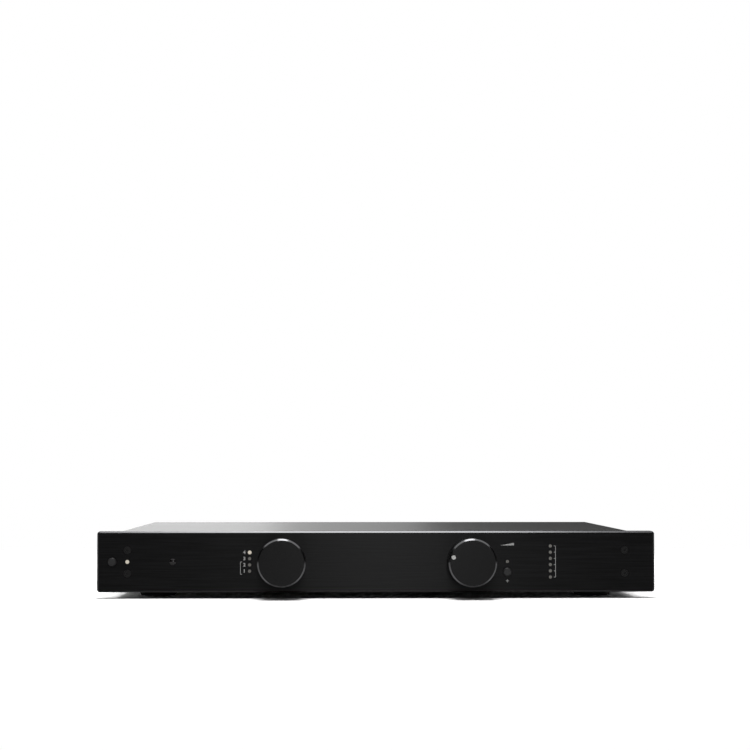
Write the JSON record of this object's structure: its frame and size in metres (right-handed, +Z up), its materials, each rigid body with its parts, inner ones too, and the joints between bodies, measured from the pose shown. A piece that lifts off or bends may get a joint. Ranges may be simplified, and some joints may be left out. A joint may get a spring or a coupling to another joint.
{
  "type": "desktop digital-to-analogue converter",
  "caption": "Low full-width converter and preamplifier: thick front panel with two large knobs, round buttons and indicator lights on a folded metal case with rear sockets.",
  "frame": {"origin": "on the standing surface, below the middle of the bounding box", "axes": "+X to the right seen from the front, +Y from the front panel to the back, +Z up"},
  "size_m": [0.45, 0.3134, 0.054],
  "materials": {
    "panel_black": "black anodised, fine brushed, bright cut chamfer",
    "knob_black": "black anodised, satin, bright cut chamfer",
    "cover_black": "black powder coat, fine texture",
    "rear_black": "black powder coat",
    "tray_zinc": "zinc plated",
    "screw_black": "black oxide",
    "fastener_zinc": "zinc plated",
    "shaft_steel": "turned",
    "rubber": "moulded rubber",
    "button_grey": "satin",
    "eye_dark": "polished, infrared clear",
    "light_clear": "frosted",
    "pointer_white": "white enamel",
    "board_green": "solder mask",
    "component_black": "mixed components",
    "moulding_black": "moulded",
    "gear_white": "acetal",
    "winding": "taped winding on a steel core",
    "pad": "rubber sheet",
    "plated": "gold and nickel plated",
    "insulator": "moulded",
    "shell_nickel": "satin nickel",
    "fuse_glass": "clear tube with caps",
    "wire": "insulated wire"
  },
  "bodies": {
    "chassis": {"base_tray": "tray_zinc", "board_screws": "fastener_zinc", "board_spacers": "fastener_zinc", "connector_screws": "screw_black", "cover_screws": "screw_black", "feet": "rubber", "foot_screws": "fastener_zinc", "front_panel": "panel_black", "gain_light_pipe": "light_clear", "gain_switch": "moulding_black", "gear_plate": "shaft_steel", "indicator_boards": "board_green", "ir_lens": "eye_dark", "main_board": "board_green", "main_board_components": "component_black", "mains_inlet": "moulding_black", "mains_inlet_blades": "plated", "mains_switch": "moulding_black", "option_plate": "rear_black", "panel_nuts": "fastener_zinc", "panel_screws": "screw_black", "pocket_cover": "moulding_black", "power_board": "board_green", "power_board_components": "component_black", "power_light_pipe": "light_clear", "power_switch": "moulding_black", "press_nuts": "fastener_zinc", "rate_light_pipes": "light_clear", "rca_contacts": "plated", "rca_insulators": "insulator", "rca_shells": "plated", "rear_panel": "rear_black", "rear_panel_screws": "screw_black", "selector_switch": "moulding_black", "source_light_pipes": "light_clear", "standby_board": "board_green", "top_cover": "cover_black", "toslink_housing": "moulding_black", "transformer": "winding", "transformer_clamp": "fastener_zinc", "transformer_pads": "pad", "volume_motor": "shaft_steel", "volume_pot": "moulding_black", "wiring": "wire", "xlr_inserts": "moulding_black", "xlr_pins": "plated", "xlr_shells": "shell_nickel"},
    "selector": {"selector_knob": "knob_black", "selector_shaft": "shaft_steel"},
    "volume": {"volume_knob": "knob_black", "volume_pointer": "pointer_white", "volume_shaft": "shaft_steel", "volume_gear": "gear_white"},
    "motor_drive": {"motor_pinion": "gear_white"},
    "power_key": {"power_button": "button_grey"},
    "gain_key": {"gain_button": "button_grey"},
    "rocker": {"mains_rocker": "moulding_black"},
    "drawer": {"fuse_drawer": "moulding_black", "fuse": "fuse_glass"},
    "flap": {"toslink_flap": "moulding_black"}
  },
  "joints": [
    {"name": "selector_turn", "type": "hinge", "parent": "chassis", "child": "selector", "pos_m": [-0.076, -0.13275, 0.0295], "axis": [0, 1, 0], "range_deg": [-90, 0]},
    {"name": "volume_turn", "type": "hinge", "parent": "chassis", "child": "volume", "pos_m": [0.076, -0.13275, 0.0295], "axis": [0, 1, 0], "range_deg": [-76.4, 223.6]},
    {"name": "motor_turn", "type": "hinge", "parent": "chassis", "child": "motor_drive", "pos_m": [0.0901, -0.09575, 0.0295], "axis": [0, 1, 0], "range_deg": [-680, 240]},
    {"name": "power_press", "type": "slide", "parent": "chassis", "child": "power_key", "axis": [0, 1, 0], "range_m": [0, 0.0005], "stiffness_N_per_m": 4000, "springref_m": -0.0005},
    {"name": "gain_press", "type": "slide", "parent": "chassis", "child": "gain_key", "axis": [0, 1, 0], "range_m": [0, 0.0005], "stiffness_N_per_m": 4000, "springref_m": -0.0005},
    {"name": "rocker_tip", "type": "hinge", "parent": "chassis", "child": "rocker", "pos_m": [-0.12044, 0.14625, 0.0301], "axis": [1, 0, 0], "range_deg": [0, 20]},
    {"name": "drawer_slide", "type": "slide", "parent": "chassis", "child": "drawer", "axis": [0, 1, 0], "range_m": [0, 0.018]},
    {"name": "flap_swing", "type": "hinge", "parent": "chassis", "child": "flap", "pos_m": [0.00614, 0.14605, 0.0336], "axis": [-1, 0, 0], "range_deg": [0, 80], "stiffness_Nm_per_rad": 0.0002, "springref_deg": -17.19}
  ],
  "couplings": [
    {"joint": "motor_turn", "follows": "volume_turn", "ratio": -3}
  ]
}
